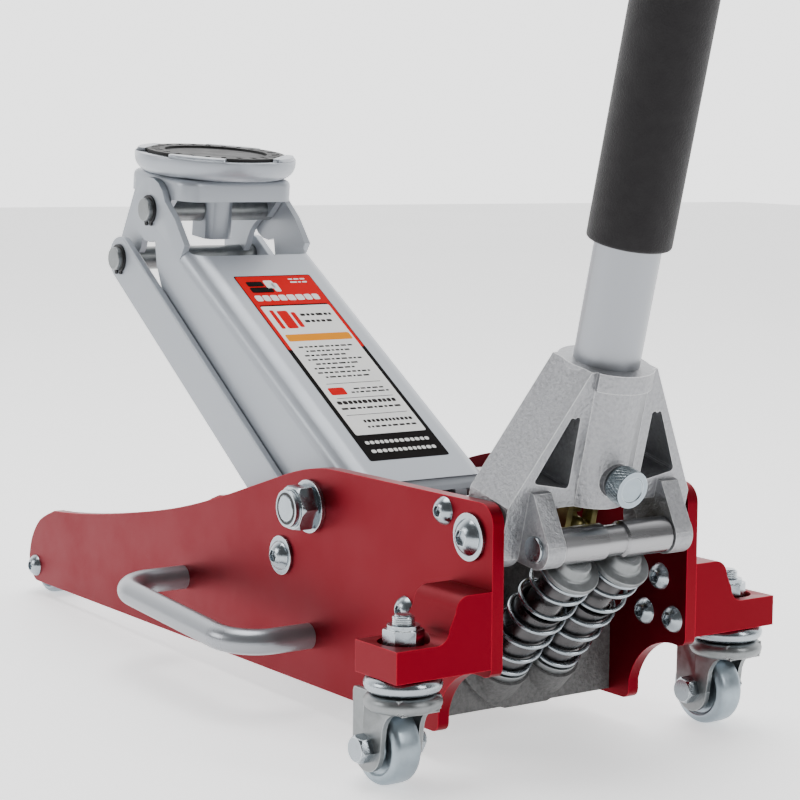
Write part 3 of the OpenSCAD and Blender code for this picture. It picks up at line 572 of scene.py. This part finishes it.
def text_like(along, height, y0, y1, seed, low=1.4, high=4.6, gap=0.9):
    """A row of short plain bars of uneven length, standing for a line of small print."""
    boxes, y, k = [], y0, seed
    while y < y1 - low:
        k = (k * 1103515245 + 12345) % 2147483648
        end = min(y + low + (high - low) * (k / 2147483648), y1)
        boxes.append((along, along + height, y, end))
        y = end + gap
    return boxes


def make_label():
    """Thin plates on the arm's top: panels, and plain bars for the words. Heights are over the arm,
    and places along the label are shares of its length from the saddle end."""
    head, foot, half = -180.5, -11.7, 26.0
    base_top, red_top, panel_top, mark_top, rule = 0.12, 0.18, 0.24, 0.28, 0.4
    length = foot - head

    def at(share):
        return head + length * share

    def part(name, boxes, top, colour):
        piece = slab_piece("label_" + name, boxes, ARM_TOP, top, 0.08)
        ink = surface("label_" + name, colour, rough=0.6, mottle=0.03, mottle_size=20, grain=0.08,
                      grain_size=0.8, specular=0.03)
        dress(piece, "lift_arm", ink, "silver_paint")

    black, red, white = srgb(14, 11, 11), srgb(196, 4, 12), srgb(226, 226, 224)
    part("base", [(head, foot, -half, half)], base_top, black)
    part("red", [(at(0.004), at(0.17), 0.5 - half, half - 0.5),
                 (at(0.165), at(0.42), 0.5 - half, 3.2 - half),
                 (at(0.165), at(0.42), half - 3.2, half - 0.5)], red_top, red)
    part("panel", [(at(0.178), at(0.873), 2.8 - half, half - 2.8)], panel_top, white)
    dark = text_like(at(0.225), 2.2, -1, half - 6, 5) + text_like(at(0.262), 2.2, -1, half - 7, 9)
    for i in range(8):
        inset = 8 if i % 3 != 1 else 11
        dark += text_like(at(0.405 + 0.0235 * i), 1.3, inset - half, half - 8 - 4 * (i % 3), i + 3)
    dark += [(at(0.608), at(0.608) + rule, 8 - half, half - 8),
             (at(0.685), at(0.685) + rule, 8 - half, half - 7)]
    dark += text_like(at(0.637), 1.2, -3, half - 9, 21) + text_like(at(0.655), 1.2, -6, half - 6, 22)
    dark += text_like(at(0.70), 3.0, 6 - half, half - 5, 31, 2.2, 3.2, 0.6)
    dark += text_like(at(0.735), 1.6, 6 - half, half - 7, 33)
    dark += [(at(0.772), at(0.772) + rule, 6 - half, half - 6)]
    dark += text_like(at(0.80), 2.4, 14 - half, half - 6, 41, 1.6, 2.4, 0.7)
    dark += text_like(at(0.832), 1.5, 14 - half, half - 6, 43)
    part("dark_marks", dark, mark_top, srgb(40, 36, 36))
    part("red_marks", [(at(0.20), at(0.305), 6.5 - half, 9.2 - half),
                       (at(0.205), at(0.305), 11 - half, 18 - half),
                       (at(0.215), at(0.30), 19.5 - half, 22.5 - half),
                       (at(0.63), at(0.668), 6.5 - half, 17 - half)], mark_top, red)
    part("orange_bar", [(at(0.338), at(0.376), 5 - half, half - 4)], mark_top, srgb(222, 138, 14))
    pale = text_like(at(0.115), 5.4, 4 - half, half - 5, 51, 4.2, 5.2, 0.8)
    pale += text_like(at(0.905), 2.6, 5 - half, half - 5, 61, 2, 3, 0.8)
    pale += text_like(at(0.948), 2.6, 5 - half, half - 5, 62, 2, 3, 0.8)
    pale += [(at(0.03), at(0.075), -1 - 8, -3), (at(0.045), at(0.095), -5, -1)]
    pale += text_like(at(0.022), 1.2, 9, half - 4, 71) + text_like(at(0.04), 1.2, 9, half - 4, 72)
    part("pale_marks", pale, mark_top, white)
    part("badge", [(at(0.035), at(0.062), 5 - half, -10), (at(0.068), at(0.098), 5 - half, -6)],
         mark_top, black)


# ---- knurling and threads ----

def make_knurls():
    """Diamond knurling round the thumb screw's knob: crossed helical ridges."""
    r, low, high, ridges = 9.0, 26.1, 33.9, 30
    knob = HANDLE @ Matrix.Translation((0, 0, THUMB_HEIGHT * MM)) @ Matrix.Rotation(math.pi / 2, 4, "Y")
    bm = bmesh.new()
    for turn in (-1, 1):
        for i in range(ridges):
            rows = []
            for k in range(7):
                share = k / 6
                a = 2 * math.pi * i / ridges + turn * 0.42 * share
                z = low + (high - low) * share
                rows.append([bm.verts.new(knob @ (Vector((q * math.cos(a + d), q * math.sin(a + d),
                                                          z)) * MM))
                             for q, d in ((r - 0.15, -0.045), (r + 0.32, 0), (r - 0.15, 0.045))])
            for one, two in zip(rows, rows[1:]):
                for m, n in ((0, 1), (1, 2), (2, 0)):
                    bm.faces.new((one[m], one[n], two[n], two[m]))
            bm.faces.new(rows[0])
            bm.faces.new(list(reversed(rows[-1])))
    dress(finish_mesh(bm, "knob_knurls", angle=25), "thumb_screw", WHEEL_ZINC, "zinc_plate")


def make_threads():
    """Fine thread crests on the caster stems, and the nylon rings in the arm's lock nuts."""
    for side, sign in SIDES.items():
        face = chassis(ARM_PIVOT_MM[0], sign * ARM_NUT_FACE, ARM_PIVOT_MM[2])
        nut = Matrix.Translation(face) @ Matrix.Rotation(math.radians(-90 * sign), 4, "X")
        ring = lathe([(7.15, 0), (7.15, 0.35), (8.3, 0.35), (8.5, 0)], nut, "nut_ring_" + side,
                     steps=48)
        dress(ring, "chassis", RUBBER, "black_rubber")
        stem = CHASSIS @ Matrix.Translation((STEM_MM[0] * MM, sign * STEM_MM[1] * MM, 0))
        crests = [(4.99, 77.6)]
        for i in range(4):
            crests += [(5.0, 77.8 + i), (5.32, 78.2 + i), (5.32, 78.35 + i), (5.0, 78.75 + i)]
        crests += [(4.99, 81.9), (4.4, 81.95), (4.4, 77.6)]
        dress(lathe(crests, stem, "stem_thread_" + side, steps=48), "chassis", ZINC, "zinc_plate")


make_camera()
make_studio()
dress_cad_nodes()
make_handle()
make_pump_springs()
make_return_springs()
make_spring_caps()
make_label()
make_threads()
make_knurls()
